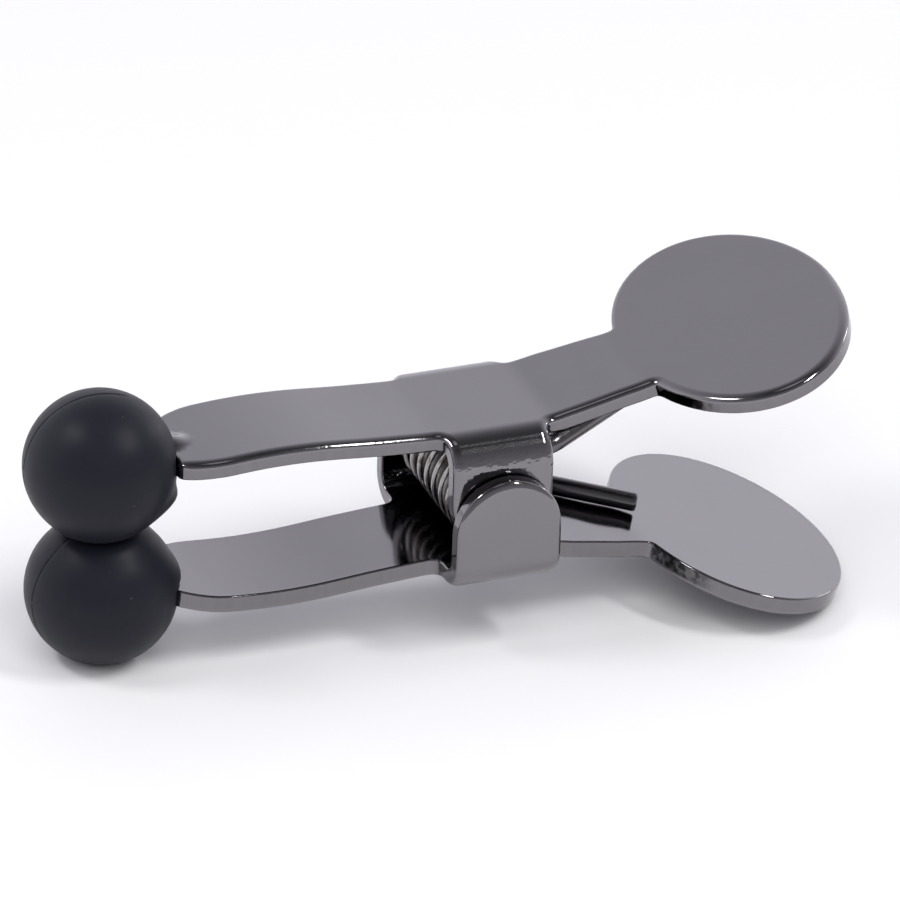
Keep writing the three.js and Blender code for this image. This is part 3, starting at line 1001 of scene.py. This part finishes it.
def add_world():
    """Walls round the studio, bright behind the clamp and dim in front of it.

    They darken upwards to the ceiling, whose middle is pale.
    """
    world = bpy.data.worlds.new("studio")
    world.use_nodes = True
    nodes = world.node_tree.nodes
    links = world.node_tree.links
    nodes.clear()
    place = nodes.new("ShaderNodeTexCoord")
    split = nodes.new("ShaderNodeSeparateXYZ")
    links.new(place.outputs["Generated"], split.inputs[0])
    height = nodes.new("ShaderNodeMapRange")
    height.inputs["From Min"].default_value = -1.0
    links.new(split.outputs["Z"], height.inputs["Value"])
    behind = nodes.new("ShaderNodeMapRange")
    behind.interpolation_type = "SMOOTHSTEP"
    behind.inputs["From Min"].default_value = -0.4
    behind.inputs["From Max"].default_value = 0.4
    links.new(split.outputs["Y"], behind.inputs["Value"])
    walls = nodes.new("ShaderNodeMix")
    walls.data_type = "RGBA"
    links.new(behind.outputs["Result"], walls.inputs["Factor"])
    for socket, levels in ((6, FRONT_LEVELS), (7, BACK_LEVELS)):
        ramp = nodes.new("ShaderNodeValToRGB")
        links.new(height.outputs["Result"], ramp.inputs["Fac"])
        links.new(ramp.outputs["Color"], walls.inputs[socket])
        elements = ramp.color_ramp.elements
        while len(elements) < len(levels):
            elements.new(0.5)
        for element, (elevation, level) in zip(elements, levels):
            element.position = (math.sin(math.radians(elevation)) + 1) / 2
            element.color = (*(level * part for part in STUDIO_TINT), 1)
    sky = nodes.new("ShaderNodeBackground")
    output = nodes.new("ShaderNodeOutputWorld")
    links.new(walls.outputs[2], sky.inputs["Color"])
    links.new(sky.outputs[0], output.inputs["Surface"])
    bpy.context.scene.world = world


def add_floor():
    """The floor, just under the lower ball and the rim of the lower pad."""
    ball_low, ball_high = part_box("lower_ball")
    lever_low, lever_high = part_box("lower_lever")
    ball_x = (ball_low.x + ball_high.x) / 2
    lean = math.atan2(ball_low.z - lever_low.z, lever_high.x - ball_x)
    half = FLOOR_HALF_WIDTH
    corners = [(-half, -half, 0), (half, -half, 0), (half, half, 0), (-half, half, 0)]
    mesh = bpy.data.meshes.new("floor")
    mesh.from_pydata(corners, [], [(0, 1, 2, 3)])
    mesh.materials.append(floor_paint())
    floor = bpy.data.objects.new("floor", mesh)
    floor.rotation_euler = (0, lean, 0)
    floor.location = (ball_x, 0, ball_low.z - FLOOR_GAP)
    bpy.context.scene.collection.objects.link(floor)


# ---- Assembly -----------------------------------------------------------------------------


def dress(piece, material, slot, body, *nodes):
    """Gives a piece its material, its body and the CAD nodes that it stands for."""
    piece.data.materials.append(material)
    if body:
        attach(piece, body)
    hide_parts(*nodes)


plate = lever_plate()
rubber = ball_rubber()
wire_finish = spring_wire()
upper_lever = make_lever("upper_lever_plated", UPPER_EAR, True, UPRIGHT)
lower_lever = make_lever("lower_lever_plated", LOWER_EAR, False, TURNED_OVER)
upper_ball = make_ball("upper_ball_moulded", UPPER_BALL, UPRIGHT)
lower_ball = make_ball("lower_ball_moulded", LOWER_BALL, TURNED_OVER)
dress(upper_lever, plate, "lever_plate", "upper", "upper_lever")
dress(lower_lever, plate, "lever_plate", "lower", "lower_lever")
dress(make_pin("pivot_pin_turned"), pin_steel(), "pin_steel", "lower", "pivot_pin")
dress(upper_ball, rubber, "ball_rubber", "upper", "upper_ball")
dress(lower_ball, rubber, "ball_rubber", "lower", "lower_ball")

spring = make_spring()
dress(spring["spring_leg_upper"], wire_finish, "spring_wire", "upper", "torsion_spring")
dress(spring["spring_leg_lower"], wire_finish, "spring_wire", "lower", "torsion_spring")
dress(spring["spring_coil"], wire_finish, "spring_wire", None, "torsion_spring")
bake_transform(spring["spring_coil"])

add_camera()
add_world()
add_floor()
# Three strips glint along the rolled edges. The key is left out of reflections, so that it lights
# only the floor and the rubber.
add_softbox("strip_left", (-0.596, 0.121, 0.795), 0.9, (0.13, 0.28), 16)
add_softbox("strip_right", (0.46, -0.41, 0.787), 0.9, (0.1, 0.34), 27)
add_softbox("strip_side", (0.9, 0.33, 0.25), 0.9, (0.06, 0.26), 9)
add_softbox("key", (-0.2, -0.6, 0.8), 2.0, (1.6, 1.6), 2.8, in_reflections=False)
bpy.context.scene.view_settings.view_transform = "Standard"
